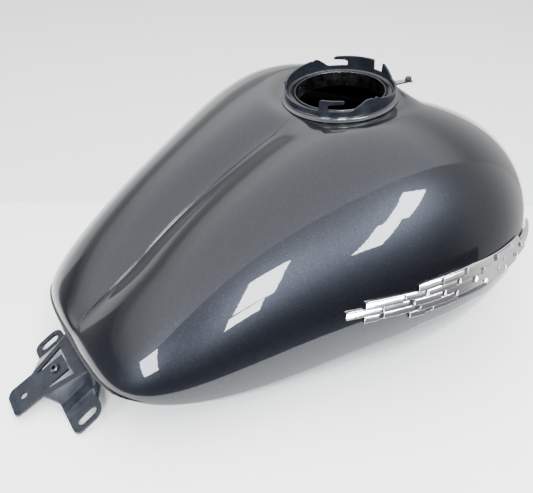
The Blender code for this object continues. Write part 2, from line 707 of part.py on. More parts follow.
def tail_flange():
    """Welded seam flange that shows as a thin lip below the tail."""
    u = np.linspace(0.0, 0.235, 14)
    edge = skin(u, np.full(14, 2.0))
    _, _, nx, ny = outline(u)
    stations = []
    for k in range(14):
        out = np.array([nx[k], ny[k], 0.0])
        base = edge[k] - np.array([0, 0, GAP])
        stations.append([base + out * 0.0035, base - out * 0.0004])
    left = np.array(stations)
    right = left[1:][::-1] * (1, -1, 1)
    both = np.concatenate([right, left])
    plate("tail_seam_flange", both, both - np.array([0, 0, SHEET]), black_coat())


def side_surface(x, z, side, proud):
    """Points on one side of the skin at given x and heights, moved out along the normal."""
    x, z = np.asarray(x, float), np.asarray(z, float)
    u = np.linspace(0.2, 0.95, 76)
    w = np.linspace(0.4, 1.6, 49)
    grid_u, grid_w = np.meshgrid(u, w, indexing="ij")
    grid = skin(grid_u, grid_w)
    far = (grid[..., 0].ravel() - x[..., None]) ** 2 + (grid[..., 2].ravel() - z[..., None]) ** 2
    near = far.argmin(-1)
    u, w = grid_u.ravel()[near], grid_w.ravel()[near]
    step = 1e-5
    for _ in range(6):
        here = skin(u, w)
        by_u = (skin(u + step, w) - here) / step
        by_w = (skin(u, w + step) - here) / step
        miss_x, miss_z = x - here[..., 0], z - here[..., 2]
        area = by_u[..., 0] * by_w[..., 2] - by_w[..., 0] * by_u[..., 2]
        u = u + (miss_x * by_w[..., 2] - by_w[..., 0] * miss_z) / area
        w = w + (by_u[..., 0] * miss_z - miss_x * by_u[..., 2]) / area
    here = skin(u, w)
    normal = np.cross(skin(u + step, w) - here, skin(u, w + step) - here)
    normal /= np.linalg.norm(normal, axis=-1, keepdims=True)
    normal *= np.sign(normal[..., 1:2])
    return (here + normal * proud) * (1, side, 1)


def emblem_height(x):
    """Height of the emblem's middle line along the side."""
    return np.interp(x, EMBLEM_LINE_X, EMBLEM_LINE_Z)


def emblem_cells():
    """Stations along and across the emblem, and which cells between them are metal."""
    rows = ("..X..", "X.X..", "X.X.X", "XXXXX", "X.X.X", "XXX.X", "X.X.X", "X.XXX", "X.X.X",
            "XXXXX", "X.X.X", "XXX.X", "X.X.X", "X.XXX", "X.X.X", "XXXXX", "X.X.X", "..X.X",
            "..X..")
    lengths = (14, 8, 16, 7, 10, 7, 10, 7, 12, 7, 10, 7, 10, 7, 12, 7, 16, 14, 20)
    along = np.concatenate([[0.0], np.cumsum(lengths)]) / sum(lengths)
    across = np.array([-0.0125, -0.0080, -0.0035, 0.0035, 0.0080, 0.0125])
    return along, across, np.array([[cell == "X" for cell in row] for row in rows])


def emblems():
    """Plain stepped bars, plated, on a pad on each side. The bars carry no letters."""
    along, across, filled = emblem_cells()
    chrome = material("chrome", (0.80, 0.80, 0.82), 0.08, 1.0)
    foam = material("foam_pad", (0.03, 0.03, 0.03), 0.9, 0.0)
    base = EMBLEM_PAD_T + 2 * GAP
    for side, name in ((1, "left"), (-1, "right")):
        a, t = np.meshgrid(along, across, indexing="ij")
        x = EMBLEM_X0 + (EMBLEM_X1 - EMBLEM_X0) * a + EMBLEM_LEAN * t
        z = emblem_height(x) + t
        plate(name + "_emblem", side_surface(x, z, side, base + EMBLEM_T),
              side_surface(x, z, side, base), chrome, filled)
        a, t = np.meshgrid(along[1:-1], (-0.0028, 0.0028), indexing="ij")
        x = EMBLEM_X0 + (EMBLEM_X1 - EMBLEM_X0) * a
        z = emblem_height(x) + t
        plate(name + "_emblem_pad", side_surface(x, z, side, GAP + EMBLEM_PAD_T),
              side_surface(x, z, side, GAP), foam)


def build():
    for old in list(bpy.data.objects):
        bpy.data.objects.remove(old, do_unlink=True)
    shell_cutters()
    for side in (1, -1):
        half_skin(side)
    floor_pan()
    pump_opening()
    lock_retainer()
    locating_tab()
    vent_tube()
    crossover_spigots()
    baffles()
    front_ears()
    rear_bracket()
    weld_nut()
    tail_flange()
    emblems()


build()
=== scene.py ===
import math

import bmesh
import bpy
import numpy as np
from mathutils import Matrix, Vector


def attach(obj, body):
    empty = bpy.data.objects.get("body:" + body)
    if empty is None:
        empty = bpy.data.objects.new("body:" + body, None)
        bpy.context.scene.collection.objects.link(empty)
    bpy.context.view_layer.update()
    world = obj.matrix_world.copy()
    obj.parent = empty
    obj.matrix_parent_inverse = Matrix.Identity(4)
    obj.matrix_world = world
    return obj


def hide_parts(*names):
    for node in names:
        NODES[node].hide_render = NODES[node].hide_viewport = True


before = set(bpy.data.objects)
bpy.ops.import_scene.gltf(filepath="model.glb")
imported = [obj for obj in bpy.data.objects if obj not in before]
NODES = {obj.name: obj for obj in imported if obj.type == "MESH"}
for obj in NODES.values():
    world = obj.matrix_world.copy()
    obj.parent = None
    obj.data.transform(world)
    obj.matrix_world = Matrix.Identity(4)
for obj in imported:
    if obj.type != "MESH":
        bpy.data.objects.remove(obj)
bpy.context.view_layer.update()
EPS = 1e-9

# ---- the tank's own dimensions, the same as in the CAD (x = 0 at the tail, then moved back)
ORIGIN_X = 0.2325
SHEET = 0.0016
GAP = 0.0003
LENGTH = 0.531
OUTLINE_X = (0.0, 0.0, 0.001, 0.176, 0.292, 0.409, LENGTH, LENGTH)
OUTLINE_Y = (0.0, 0.052, 0.108, 0.159, 0.2145, 0.193, 0.063, 0.0)
EDGE_Z = 0.007
TAIL_RISE = 0.0425
TAIL_RISE_END = 0.170
NOSE_RISE = 0.020
NOSE_RISE_START = 0.360
WIDEST_ABOVE_EDGE = (0.0065, 0.053, 0.1284, 0.0718)
TURN_IN = (0.0148, 0.0371, 0.0416, 0.0488)
TURN_POWER = 1.42
SPINE_Z = (0.061, 0.132, 0.200, 0.2525, 0.147, 0.109)
SPINE_TAIL = 0.010
SPINE_NOSE = 0.053
POWER_TAIL = 1.68
POWER_SIDE = 2.14
POWER_NOSE = 1.98
VALLEY_DEPTH = 0.0263
VALLEY_WIDTH = 0.0385
VALLEY_SPREAD = (0.55, 1.5)         # share of that width at the tail, and what it gains to the nose
VALLEY_START = (-0.05, 0.15)        # shares of the length over which the valley deepens
VALLEY_FADE = (0.62, 1.0)           # and over which it runs out again
VALLEY_CREASE = 0.012
RING_X = 0.308
RING_Z = 0.2096
RING_TILT = math.radians(-5.5)
MOUTH_R = 0.0435
SEAT_R = 0.0515
WALL_R = 0.0545
FOOT_R = 0.0572
FOOT_H = -0.0060
FLAT_R = 0.0590
FILLET_R = 0.0850
SKIN_HOLE_R = 0.0485
TUNNEL_HALF = 0.042
TUNNEL_ROOF_TAIL = 0.0445
TUNNEL_ROOF_NOSE = 0.108
MOUTH_TOP_X = 0.526
HAT_SLOPE = 0.404
WING_SLOPE = 0.488
SLOT_X = -0.014
SLOT_Y = 0.0505
SLOT_LONG = 0.0175
SLOT_WIDE = 0.008
BRACKET_T = 0.0025
EMBLEM_X0 = 0.178
EMBLEM_X1 = 0.398
EMBLEM_LEAN = 0.45
EMBLEM_LINE_X = (0.170, 0.205, 0.240, 0.285, 0.330, 0.400)
EMBLEM_LINE_Z = (0.1030, 0.1050, 0.1080, 0.1155, 0.1175, 0.1150)

# ---- seam down the middle, which the CAD leaves out
SEAM_DEPTH = 0.0016
SEAM_WIDTH = 0.0009
SEAM_TAIL_X = (0.004, 0.030)        # where the seam's groove deepens from the tail,
SEAM_SHALLOW_X = (0.10, 0.235)      # where it gets shallower,
SEAM_RING_X = (0.222, 0.240)        # where it ends before the pump opening,
SEAM_NOSE_X = (0.40, 0.42)          # and where it starts again at the nose
SEAM_SHALLOW = 0.25
SEAM_AT_NOSE = 0.6

# ---- lock retainer's wall: radii, and the angles round the pump opening where it starts and ends
WALL_FROM = 0.0525
WALL_TO = WALL_R
WALL_START = -60
WALL_END = 300

# lists in millimetres are turned into metres by this
MM = 0.001

# ---- rear bracket (x = 0 at the tail, as above)
HAT_X, HAT_Z = -0.012, 0.0300       # a point on the tongue's top
WING_Z = 0.0105                     # the wings' height at the slots
HAT_EDGE_X = (-0.0400, 0.0020)      # the tongue's fold widens between these places,
HAT_EDGE_Y = (0.0142, 0.0275)       # from one half width to the other
FACET_DROP = 0.40                   # share of the way down to the wing at the facet's foot
WING_STEP_Y = (0.0310, 0.035, 0.0400)
WING_STEP_DROP = (0.0, 0.42, 0.60)
STRIP_X = (-0.001, 0.0115)          # where the bracket climbs to its strip under the tunnel's roof
STRIP_GAP = 3 * GAP
TONGUE_BEND_X = -0.0590
TONGUE_BEND = 0.30
TONGUE_HOLE_X, TONGUE_HOLE_R = -0.052, 0.0032
SLANT = 1.12                        # height of the slanted sheet over its thickness

# ---- camera, table, lights and room
CAMERA_AZIMUTH = math.radians(-37.25)
CAMERA_ELEVATION = math.radians(38.90)
CAMERA_ROLL = math.radians(0.334)
CAMERA_DISTANCE = 0.5585
CAMERA_TARGET = Vector((0.0019, 0.0211, 0.0320))
CAMERA_LENS = 32.02
CAMERA_SENSOR = 36.0
AWAY = Vector((0.605, 0.796, 0.0))      # level, straight away from the camera
RIGHTWARD = Vector((0.796, -0.605, 0.0))
TABLE_CORNERS = ((-0.37, -3.0), (-0.37, 0.2135), (5.0, 2.63), (5.0, -3.0))
SHADE_LINE = 0.153                       # where the table's painted shade begins, along AWAY
SHADE_BLEND = 0.004
OVERHEAD_PLACE = (0.1, 0.3, 2.4)
OVERHEAD_AIM = (0.0, 0.0, 0.1)
OVERHEAD_SIZE = 2.2
OVERHEAD_POWER = 75.0
DAYLIGHT = (0.95, 0.98, 1.0)
# name, centre, direction of the width, direction of the height, width, height, radiance
WINDOW_PANES = (
    ("window_a_upper", (-0.81, -1.04, 1.21), (0.98, -0.16, -0.05), (0.13, 0.49, 0.86), 0.30, 0.50, 60),
    ("window_a_lower", (-0.90, -1.25, 0.91), (0.66, -0.60, 0.45), (0.21, 0.72, 0.66), 0.26, 0.21, 60),
    ("window_b_upper", (0.15, -0.99, 1.43), (0.87, -0.44, 0.21), (0.48, 0.84, -0.24), 0.28, 0.67, 60),
    ("window_b_lower", (-0.19, -1.26, 1.23), (0.77, -0.55, 0.32), (0.53, 0.83, 0.15), 0.22, 0.50, 60),
    ("window_c", (-1.54, -0.49, 0.70), (0.84, -0.48, 0.27), (0.40, 0.87, 0.28), 0.30, 0.59, 45),
)
# brightness of the room's walls by the height of the direction, from level (0) to straight up (1)
NEAR_WALL = ((0.0, 0.15), (0.40, 0.20), (0.62, 0.26), (0.74, 1.0), (0.85, 1.4), (1.0, 1.5))
FAR_WALL = ((0.0, 1.4), (0.12, 1.25), (0.20, 0.55), (0.34, 0.55), (0.45, 1.7), (0.65, 2.7), (1.0, 2.5))
NOSE_END_NEAR = 0.95                    # what both walls fade to beyond the nose
NOSE_END_FAR = 0.75
DARK_CORNER = (0.10, 0.11, 0.14)        # low, beyond the tail
WALL_SHADE_TONE = (0.76, 0.765, 0.77)      # painted shade: the table past that line is darker, standing in for the dimmer back wall behind the table
# sockets of a Mix node that mixes colours: they share names with others, so they go by number
MIX_A, MIX_B, MIX_RESULT = 6, 7, 2


# ------------------------------------------------------------------ curves and the skin
def bspline(controls, t):
    """Clamped uniform cubic B-spline."""
    degree = 3
    count = len(controls)
    inner = np.linspace(0.0, 1.0, count - degree + 1)
    knots = np.concatenate([np.zeros(degree), inner, np.ones(degree)])
    t = np.clip(np.asarray(t, float), 0.0, 1.0 - 1e-12)
    basis = [((knots[i] <= t) & (t < knots[i + 1])).astype(float) for i in range(len(knots) - 1)]
    for k in range(1, degree + 1):
        for i in range(len(knots) - k - 1):
            left = knots[i + k] - knots[i]
            right = knots[i + k + 1] - knots[i + 1]
            a = (t - knots[i]) / left * basis[i] if left > 0 else 0.0
            b = (knots[i + k + 1] - t) / right * basis[i + 1] if right > 0 else 0.0
            basis[i] = a + b
    return sum(c * basis[i] for i, c in enumerate(controls))


def bezier(controls, t):
    """Cubic Bezier through four controls."""
    a, b, c, d = controls
    t = np.clip(t, 0.0, 1.0)
    return a * (1 - t) ** 3 + 3 * b * t * (1 - t) ** 2 + 3 * c * t * t * (1 - t) + d * t ** 3


def smoothstep(low, high, value):
    s = np.clip((value - low) / (high - low), 0.0, 1.0)
    return s * s * (3.0 - 2.0 * s)


def edge_z(x):
    """Height of the skin's lower edge."""
    tail = np.clip((TAIL_RISE_END - x) / TAIL_RISE_END, 0.0, 1.0) ** 2
    nose = np.clip((x - NOSE_RISE_START) / (LENGTH - NOSE_RISE_START), 0.0, 1.0) ** 2
    return EDGE_Z + TAIL_RISE * tail + NOSE_RISE * nose


def outline(u):
    """Plan outline of the left half: x, y and the outward normal at u = 0 (tail) to 1 (nose)."""
    u = np.asarray(u, float)
    step = 1e-4
    x, y = bspline(OUTLINE_X, u), bspline(OUTLINE_Y, u)
    dx = bspline(OUTLINE_X, u + step) - bspline(OUTLINE_X, u - step)
    dy = bspline(OUTLINE_Y, u + step) - bspline(OUTLINE_Y, u - step)
    size = np.hypot(dx, dy) + EPS
    return x, y, -dy / size, dx / size


def ring_axes():
    """Centre, forward, left and up directions of the pump opening."""
    forward = np.array([math.cos(RING_TILT), 0.0, -math.sin(RING_TILT)])
    up = np.array([math.sin(RING_TILT), 0.0, math.cos(RING_TILT)])
    return np.array([RING_X, 0.0, RING_Z]), forward, np.array([0.0, 1.0, 0.0]), up


def ring_matrix():
    """Placement of things made round the pump opening's own axis."""
    centre, forward, left, up = ring_axes()
    return Matrix([(forward[k], left[k], up[k], centre[k]) for k in range(3)] + [(0, 0, 0, 1)])


def draw_neck(x, y, z):
    """Draw the skin up or down to the flat round the pump opening."""
    centre, _, _, up = ring_axes()
    flat_h = FOOT_H - GAP
    plane = centre[2] + (flat_h - (x - centre[0]) * up[0]) / up[2]
    radius = np.hypot(x - centre[0] - flat_h * up[0], y)
    reach = np.clip((FILLET_R - radius) / (FILLET_R - FLAT_R), 0.0, 1.0)
    weight = reach ** 2 * (2.0 - reach)
    return z + weight * (plane - z)


def skin(u, w):
    """Point of the left half's outer skin. w = 0 spine, 1 widest line, 2 lower edge."""
    x, y, nx, ny = outline(u)
    along = x / LENGTH
    widest = edge_z(x) + bezier(WIDEST_ABOVE_EDGE, along)
    spine_x = SPINE_TAIL + (LENGTH - SPINE_TAIL - SPINE_NOSE) * along
    spine_z = bspline(SPINE_Z, spine_x / LENGTH)
    to_tail, to_nose = np.clip(-nx, 0, 1) ** 2, np.clip(nx, 0, 1) ** 2
    power = POWER_TAIL * to_tail + POWER_NOSE * to_nose + POWER_SIDE * (1 - to_tail - to_nose)
    rho = np.sin(np.clip(w, 0, 1) * math.pi / 2)
    rise = np.clip(1 - rho ** power, 0, 1) ** (1 / power)
    top_x, top_y = spine_x + (x - spine_x) * rho, y * rho
    top_z = widest + (spine_z - widest) * rise
    depth = VALLEY_DEPTH * smoothstep(*VALLEY_START, top_x / LENGTH)
    depth = depth * (1 - smoothstep(*VALLEY_FADE, top_x / LENGTH))
    width = VALLEY_WIDTH * (VALLEY_SPREAD[0] + VALLEY_SPREAD[1] * top_x / LENGTH)
    crease = np.sqrt(top_y ** 2 + VALLEY_CREASE ** 2) - VALLEY_CREASE
    top_z = draw_neck(top_x, top_y, top_z - depth * np.exp(-crease / width))
    phi = np.clip(w - 1, 0, 1) * math.pi / 2
    bend = 2 / TURN_POWER
    turn = bezier(TURN_IN, along) * (1 - np.abs(np.cos(phi)) ** bend)
    low_x, low_y = x - nx * turn, y - ny * turn
    low_z = widest - (widest - edge_z(x)) * np.sin(phi) ** bend
    below = np.asarray(w) > 1
    return np.stack([np.where(below, low_x, top_x), np.where(below, low_y, top_y),
                     np.where(below, low_z, top_z)], -1)


# ------------------------------------------------------------------ mesh helpers
def new_piece(name, mesh_maker, surface, replaces=(), sharp=35):
    """A piece from a bmesh made in tank dimensions: moved to the frame's origin, and riding."""
    bmesh.ops.translate(mesh_maker, verts=mesh_maker.verts, vec=(-ORIGIN_X, 0.0, 0.0))
    bmesh.ops.recalc_face_normals(mesh_maker, faces=mesh_maker.faces)
    mesh = bpy.data.meshes.new(name)
    mesh_maker.to_mesh(mesh)
    mesh_maker.free()
    made = bpy.data.objects.new(name, mesh)
    bpy.context.scene.collection.objects.link(made)
    mesh.materials.append(surface)
    mesh.shade_smooth()
    mesh.set_sharp_from_angle(angle=math.radians(sharp))
    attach(made, "root")
    if replaces:
        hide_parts(*replaces)
    return made


def grid_mesh(outer, inner):
    """Closed plate between two grids of points, as a bmesh."""
    rows, cols = outer.shape[0] - 1, outer.shape[1] - 1
    bm = bmesh.new()
    sides = []
    for points in (outer, inner):
        sides.append([[bm.verts.new(p) for p in row] for row in points])
    faces = bm.faces
    for i in range(rows):
        for j in range(cols):
            cell = ((i, j), (i + 1, j), (i + 1, j + 1), (i, j + 1))
            faces.new([sides[0][a][b] for a, b in cell])
            faces.new([sides[1][a][b] for a, b in reversed(cell)])
            for k, (di, dj) in enumerate(((0, -1), (1, 0), (0, 1), (-1, 0))):
                if 0 <= i + di < rows and 0 <= j + dj < cols:
                    continue
                (a, b), (c, d) = cell[k], cell[(k + 1) % 4]
                faces.new([sides[0][c][d], sides[0][a][b], sides[1][a][b], sides[1][c][d]])
    return bm


def normals_of(grid):
    """Unit normals of a grid of points."""
    du, dv = np.gradient(grid, axis=0), np.gradient(grid, axis=1)
    n = np.cross(du, dv)
    return n / (np.linalg.norm(n, axis=-1, keepdims=True) + EPS)


def cutter(name, points, low, high, to_world):
    """Prism for a Boolean, in tank dimensions."""
    bm = bmesh.new()
    bottom = [bm.verts.new(to_world @ Vector((x, y, low))) for x, y in points]
    top = [bm.verts.new(to_world @ Vector((x, y, high))) for x, y in points]
    bm.faces.new(top)
    bm.faces.new(list(reversed(bottom)))
    for k in range(len(points)):
        n = (k + 1) % len(points)
        bm.faces.new([bottom[k], bottom[n], top[n], top[k]])
    bmesh.ops.translate(bm, verts=bm.verts, vec=(-ORIGIN_X, 0.0, 0.0))
    bmesh.ops.recalc_face_normals(bm, faces=bm.faces)
    mesh = bpy.data.meshes.new(name)
    bm.to_mesh(mesh)
    bm.free()
    made = bpy.data.objects.new(name, mesh)
    bpy.context.scene.collection.objects.link(made)
    return made


def apply_booleans(piece, steps):
    """Apply (operation, cutter) pairs in turn, then remove the cutters."""
    for operation, tool in steps:
        change = piece.modifiers.new(tool.name, "BOOLEAN")
        change.operation = operation
        change.object = tool
    graph = bpy.context.evaluated_depsgraph_get()
    graph.update()
    done = bpy.data.meshes.new_from_object(piece.evaluated_get(graph))
    piece.modifiers.clear()
    old = piece.data
    piece.data = done
    bpy.data.meshes.remove(old)
    for _, tool in steps:
        bpy.data.objects.remove(tool, do_unlink=True)


def circle(centre, radius, steps):
    """Corners of a regular polygon that stands for a circle."""
    turn = 2 * math.pi / steps
    return [(centre[0] + radius * math.cos(turn * s), centre[1] + radius * math.sin(turn * s))
            for s in range(steps)]


def lathe(profile, centre, axis, steps=128):
    """Closed ring: profile (radius, height) turned round an axis, as a bmesh."""
    bm = bmesh.new()
    axis = Vector(axis).normalized()
    place = Matrix.Translation(Vector(centre)) @ axis.to_track_quat("Z", "X").to_matrix().to_4x4()
    rings = []
    for k in range(steps):
        a = 2 * math.pi * k / steps
        rings.append([bm.verts.new(place @ Vector((r * math.cos(a), r * math.sin(a), h)))
                      for r, h in profile])
    for k in range(steps):
        here, there = rings[k], rings[(k + 1) % steps]
        for p in range(len(profile)):
            q = (p + 1) % len(profile)
            bm.faces.new([here[p], there[p], there[q], here[q]])
    return bm


def soften(piece, width, segments=2, angle=40):
    """Small round on a piece's sharp edges."""
    bevel = piece.modifiers.new("edge_round", "BEVEL")
    bevel.width = width
    bevel.segments = segments
    bevel.limit_method = "ANGLE"
    bevel.angle_limit = math.radians(angle)
    bevel.harden_normals = True


# ------------------------------------------------------------------ materials
def surface_nodes(name, colour, roughness, metallic):
    """New material, its node tree, its shader and the object's own coordinates."""
    made = bpy.data.materials.new(name)
    made.use_nodes = True
    tree = made.node_tree
    shader = tree.nodes["Principled BSDF"]
    shader.inputs["Base Color"].default_value = (*colour, 1.0)
    shader.inputs["Roughness"].default_value = roughness
    shader.inputs["Metallic"].default_value = metallic
    place = tree.nodes.new("ShaderNodeTexCoord")
    return made, tree, shader, place.outputs["Object"]


def noise(tree, where, scale, detail=2.0, rough=0.5):
    """Noise texture's value."""
    made = tree.nodes.new("ShaderNodeTexNoise")
    made.inputs["Scale"].default_value = scale
    made.inputs["Detail"].default_value = detail
    made.inputs["Roughness"].default_value = rough
    tree.links.new(where, made.inputs["Vector"])
    return made.outputs["Fac"]


def ramp(tree, value, stops):
    """Colour looked up from (place, colour) stops."""
    made = tree.nodes.new("ShaderNodeValToRGB")
    elements = made.color_ramp.elements
    while len(elements) < len(stops):
        elements.new(0.5)
    for element, (place, colour) in zip(elements, stops):
        element.position = place
        element.color = (*colour, 1.0)
    tree.links.new(value, made.inputs["Fac"])
    return made.outputs["Color"]


def bump(tree, shader, height, strength, distance, socket="Normal"):
    """Fine relief on one of the shader's normals."""
    made = tree.nodes.new("ShaderNodeBump")
    made.inputs["Strength"].default_value = strength
    made.inputs["Distance"].default_value = distance
    tree.links.new(height, made.inputs["Height"])
    tree.links.new(made.outputs["Normal"], shader.inputs[socket])


def grey(value):
    return (value, value, value)


def paint_material():
    """Charcoal metallic base coat with fine bright flake, under a clear coat."""
    made, tree, shader, where = surface_nodes("charcoal_metallic", (0.03, 0.034, 0.044), 0.38, 0.95)
    shader.inputs["Specular IOR Level"].default_value = 0.1
    cells = tree.nodes.new("ShaderNodeTexVoronoi")
    cells.inputs["Scale"].default_value = 2600.0
    tree.links.new(where, cells.inputs["Vector"])
    flake = ramp(tree, cells.outputs["Color"],
                 [(0.0, (0.013, 0.015, 0.020)), (0.55, (0.018, 0.020, 0.026)),
                  (0.85, (0.024, 0.027, 0.034)), (1.0, (0.060, 0.066, 0.080))])
    tree.links.new(flake, shader.inputs["Base Color"])
    bump(tree, shader, cells.outputs["Color"], 0.05, 0.0004)
    shader.inputs["Coat Weight"].default_value = 1.0
    shader.inputs["Coat Roughness"].default_value = 0.015
    shader.inputs["Coat IOR"].default_value = 1.46
    peel = noise(tree, where, 420.0, 1.0)
    bump(tree, shader, peel, 0.012, 0.0005, "Coat Normal")
    return made


def black_coat_material():
    """Satin black dip coat, faintly blue."""
    made, tree, shader, where = surface_nodes("black_dip_coat", (0.010, 0.012, 0.016), 0.30, 0.0)
    cloud = noise(tree, where, 90.0, 4.0)
    tone = ramp(tree, cloud, [(0.3, (0.008, 0.010, 0.014)), (0.7, (0.014, 0.017, 0.024))])
    tree.links.new(tone, shader.inputs["Base Color"])
    rough = ramp(tree, cloud, [(0.3, grey(0.20)), (0.7, grey(0.32))])
    tree.links.new(rough, shader.inputs["Roughness"])
    shader.inputs["Specular IOR Level"].default_value = 0.24
    bump(tree, shader, noise(tree, where, 900.0, 2.0), 0.10, 0.0003)
    return made


def gloss_coat_material():
    """Dip coat laid over with the paint's clear coat, for the fillet round the pump opening."""
    made, tree, shader, where = surface_nodes("glossed_dip_coat", (0.012, 0.014, 0.018), 0.30, 0.0)
    cloud = noise(tree, where, 120.0, 3.0)
    tone = ramp(tree, cloud, [(0.3, (0.010, 0.012, 0.016)), (0.7, (0.018, 0.021, 0.027))])
    tree.links.new(tone, shader.inputs["Base Color"])
    shader.inputs["Coat Weight"].default_value = 1.0
    shader.inputs["Coat Roughness"].default_value = 0.06
    bump(tree, shader, noise(tree, where, 190.0, 2.0), 0.35, 0.0008, "Coat Normal")
    return made


def chrome_material():
    """Bright plating, very slightly uneven."""
    made, tree, shader, where = surface_nodes("chrome_plate", (0.86, 0.86, 0.88), 0.06, 1.0)
    rough = ramp(tree, noise(tree, where, 60.0, 3.0), [(0.3, grey(0.045)), (0.7, grey(0.10))])
    tree.links.new(rough, shader.inputs["Roughness"])
    bump(tree, shader, noise(tree, where, 160.0, 1.0), 0.05, 0.0006)
    return made


def steel_material(name, colour, roughness):
    """Bare or thinly coated steel with cloudy patches."""
    made, tree, shader, where = surface_nodes(name, colour, roughness, 1.0)
    cloud = noise(tree, where, 130.0, 5.0, 0.6)
    dark = tuple(0.72 * c for c in colour)
    tree.links.new(ramp(tree, cloud, [(0.3, dark), (0.7, colour)]), shader.inputs["Base Color"])
    rough = ramp(tree, cloud, [(0.3, grey(roughness - 0.08)), (0.7, grey(roughness + 0.10))])
    tree.links.new(rough, shader.inputs["Roughness"])
    bump(tree, shader, noise(tree, where, 700.0, 3.0), 0.10, 0.0003)
    return made


def rubber_material(name, value):
    """Matt dark rubber or foam."""
    made, tree, shader, where = surface_nodes(name, grey(value), 0.62, 0.0)
    cloud = noise(tree, where, 300.0, 4.0)
    tree.links.new(ramp(tree, cloud, [(0.3, grey(value * 0.7)), (0.7, grey(value * 1.4))]),
                   shader.inputs["Base Color"])
    bump(tree, shader, cloud, 0.25, 0.0005)
    return made


# ------------------------------------------------------------------ pieces
def fine_shell(side, surface):
    """One half of the outer skin, finely divided, with the rolled seam down the middle."""
    name = "left" if side > 0 else "right"
    rows = np.linspace(0, 1, 211)
    rows = rows - 0.045 * np.sin(2 * math.pi * rows)        # closer together at tail and nose
    # stations from the spine outwards, closest together beside the seam
    near_seam = (0.0, 0.0015, 0.003, 0.0045, 0.006, 0.008, 0.0105, 0.0135, 0.017)
    cols = np.concatenate([near_seam, np.linspace(0.022, 1.0, 96), np.linspace(1.0, 2.0, 44)[1:]])
    u, w = np.meshgrid(rows, cols, indexing="ij")
    outer = skin(u, w)
    n = normals_of(outer)
    n *= np.sign(n[len(rows) // 2, 50, 2])
    n[0, 0], n[-1, 0] = n[0, 1], n[-1, 1]
    for edge in (np.s_[:, 0], np.s_[0, :], np.s_[-1, :]):
        n[edge][..., 1] = 0
        n[edge] /= np.linalg.norm(n[edge], axis=-1, keepdims=True) + EPS
    inner = outer - n * SHEET
    x = outer[..., 0]
    fade = 1 - smoothstep(*SEAM_SHALLOW_X, x)
    depth = (SEAM_SHALLOW + (1 - SEAM_SHALLOW) * fade) * smoothstep(*SEAM_TAIL_X, x)
    depth = depth * (1 - smoothstep(*SEAM_RING_X, x)) + SEAM_AT_NOSE * smoothstep(*SEAM_NOSE_X, x)
    groove = SEAM_DEPTH * depth * np.exp(-(outer[..., 1] / SEAM_WIDTH) ** 2)
    outer = outer - n * groove[..., None]
    for grid in (outer, inner):
        grid[..., 1] = np.maximum(grid[..., 1], GAP / 3)
        grid[:, 0, 1] = grid[0, :, 1] = grid[-1, :, 1] = GAP / 3
        grid[..., 1] *= side
    made = new_piece(name + "_skin", grid_mesh(outer, inner), surface, [name + "_shell"])
    # openings for the pump's ring at the top and for the tunnel at the nose
    half = TUNNEL_HALF + SHEET + GAP
    top = TUNNEL_ROOF_NOSE + SHEET + GAP
    mouth = [(-half, -0.02), (half, -0.02), (half, top), (-half, top)]
    nose_side = Matrix(((0, 0, 1, 0), (1, 0, 0, 0), (0, 1, 0, 0), (0, 0, 0, 1)))
    apply_booleans(made, [
        ("DIFFERENCE", cutter("hole", circle((0, 0), SKIN_HOLE_R, 96), -0.035, 0.02, ring_matrix())),
        ("DIFFERENCE", cutter("mouth", mouth, 0.40, 0.60, nose_side))])
    return made


def ring_point(angle, radius, height):
    """Point at an angle (degrees), radius and height on the pump opening's axis."""
    centre, forward, left, up = ring_axes()
    a = math.radians(angle)
    return Vector(centre + radius * (math.cos(a) * forward + math.sin(a) * left) + height * up)


# top edge of the retainer's wall as (angle in degrees, height in mm): the far part, then the near
LOW = 3.0
FAR_EDGE = ((-60, LOW), (-27, LOW), (-26, 3.4), (-9.5, 11.8), (-7.2, 12.0), (-6.6, LOW), (5.2, LOW),
            (5.8, 12.4), (7.5, 12.9), (30, 12.9), (50, 12.4), (53.5, 11.2), (53, 9.6), (46, 9.2),
            (40.5, 8.8), (37.6, 7.6), (37.4, 5.0), (38.2, LOW), (57, LOW), (60, 3.6), (70, 10.4),
            (73, 11.4), (76.5, 11.2), (77, 10.4), (79, 10.4), (79.5, 11.0), (86, 10.6), (131, 7.4),
            (133, 6.2), (133.5, LOW), (160, LOW))
NEAR_EDGE = ((160, LOW), (205.6, LOW), (206.2, 11.8), (208, 13.0), (229, 13.0), (230.5, 12.2),
             (230, 10.2), (218, 9.6), (215, 8.6), (214.6, 5.0), (215.4, LOW), (236, LOW),
             (239, 3.4), (250, 10.0), (253, 11.4), (259, 11.4), (259.6, 10.2), (261.4, 10.2),
             (262, 11.2), (265, 11.2), (268, 9.2), (300, LOW))


def wall_sheet(name, surface):
    """The retainer's wall: a flat outline cut into narrow strips, thickened and rolled round."""
    bottom = (FOOT_H + 0.0008) / MM
    edge = FAR_EDGE + NEAR_EDGE[1:] + ((WALL_END, bottom), (WALL_START, bottom))
    bm = bmesh.new()
    bm.faces.new([bm.verts.new((a, h, 0)) for a, h in edge])
    bmesh.ops.triangulate(bm, faces=bm.faces)
    for angle in range(WALL_START + 2, WALL_END, 2):
        bmesh.ops.bisect_plane(bm, geom=bm.verts[:] + bm.edges[:] + bm.faces[:],
                               plane_co=(angle, 0, 0), plane_no=(1, 0, 0), dist=1e-5)
    bmesh.ops.dissolve_degenerate(bm, edges=bm.edges, dist=1e-5)
    raised = bmesh.ops.extrude_face_region(bm, geom=bm.faces[:])
    for item in raised["geom"]:
        if isinstance(item, bmesh.types.BMVert):
            item.co.z = 1.0
    for v in bm.verts:
        radius = WALL_FROM + (WALL_TO - WALL_FROM) * v.co.z
        v.co = ring_point(v.co.x, radius, v.co.y * MM)
    made = new_piece(name, bm, surface, ["lock_retainer"], 50)
    soften(made, 0.00045, 2, 50)
    return made


